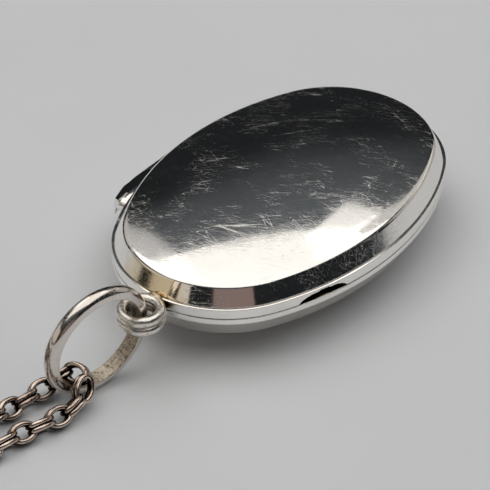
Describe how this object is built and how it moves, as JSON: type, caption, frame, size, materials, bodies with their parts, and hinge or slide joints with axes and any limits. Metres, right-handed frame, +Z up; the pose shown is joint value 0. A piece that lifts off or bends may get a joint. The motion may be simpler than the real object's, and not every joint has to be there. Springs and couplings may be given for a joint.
{
  "type": "locket",
  "caption": "Oval silver locket that opens on a side hinge, with picture seats, bail ring, and a neck chain closed by a bolt-ring clasp.",
  "frame": {"origin": "middle of the oval, on the surface that the domed front lid rests on", "axes": "+Z up through the closed locket, +Y to the tip opposite the bail, -X to the hinge"},
  "size_m": [0.0423, 0.0743, 0.0096],
  "materials": {
    "polished_silver": "polished sterling silver with fine wear scratches",
    "worn_silver": "polished silver, rubbed, dull inside",
    "oxidised_silver": "silver links, bright on top, dark tarnish between",
    "solder": "warm silver solder",
    "pin_steel": "drawn wire",
    "clear_sheet": "clear plastic sheet",
    "card": "blank ivory card"
  },
  "bodies": {
    "necklace": {"chain_run": "oxidised_silver", "chain_coil": "oxidised_silver", "chain_tail": "oxidised_silver", "end_ring": "oxidised_silver", "clasp_body": "oxidised_silver", "clasp_eye": "oxidised_silver", "clasp_link": "oxidised_silver", "clasp_spring": "pin_steel"},
    "bail_ring": {"bail_ring": "worn_silver"},
    "back_half": {"back_shell": "polished_silver", "back_rim": "polished_silver", "snap_lip": "polished_silver", "back_photo_frame": "polished_silver", "back_window": "clear_sheet", "back_photo_card": "card", "hinge_knuckle_1": "polished_silver", "hinge_knuckle_3": "polished_silver", "hinge_knuckle_5": "polished_silver", "hinge_pin": "pin_steel", "bail_loop": "worn_silver", "loop_solder": "solder"},
    "front_half": {"front_shell": "polished_silver", "front_rim": "polished_silver", "front_photo_frame": "polished_silver", "front_window": "clear_sheet", "front_photo_card": "card", "hinge_knuckle_2": "polished_silver", "hinge_knuckle_4": "polished_silver"},
    "clasp_bolt": {"clasp_bolt": "oxidised_silver"}
  },
  "joints": [
    {"name": "ring_turn", "type": "hinge", "parent": "necklace", "child": "bail_ring", "pos_m": [-0.00042, -0.02246, 0.0048], "axis": [0.9732, -0.208, -0.098], "continuous": true},
    {"name": "bail_swing", "type": "hinge", "parent": "necklace", "child": "back_half", "pos_m": [-0.00042, -0.02246, 0.0048], "axis": [0.9732, -0.208, -0.098], "range_deg": [0, 100]},
    {"name": "lid_hinge", "type": "hinge", "parent": "back_half", "child": "front_half", "pos_m": [-0.0109, -0.002, 0.0044], "axis": [0, 1, 0], "range_deg": [0, 180]},
    {"name": "clasp_trigger", "type": "hinge", "parent": "necklace", "child": "clasp_bolt", "pos_m": [-0.0075, -0.0545, 0.0015], "axis": [0, 0, 1], "range_deg": [0, 48], "stiffness_Nm_per_rad": 0.0005, "springref_deg": -17.19, "deforming": ["clasp_spring"]}
  ]
}
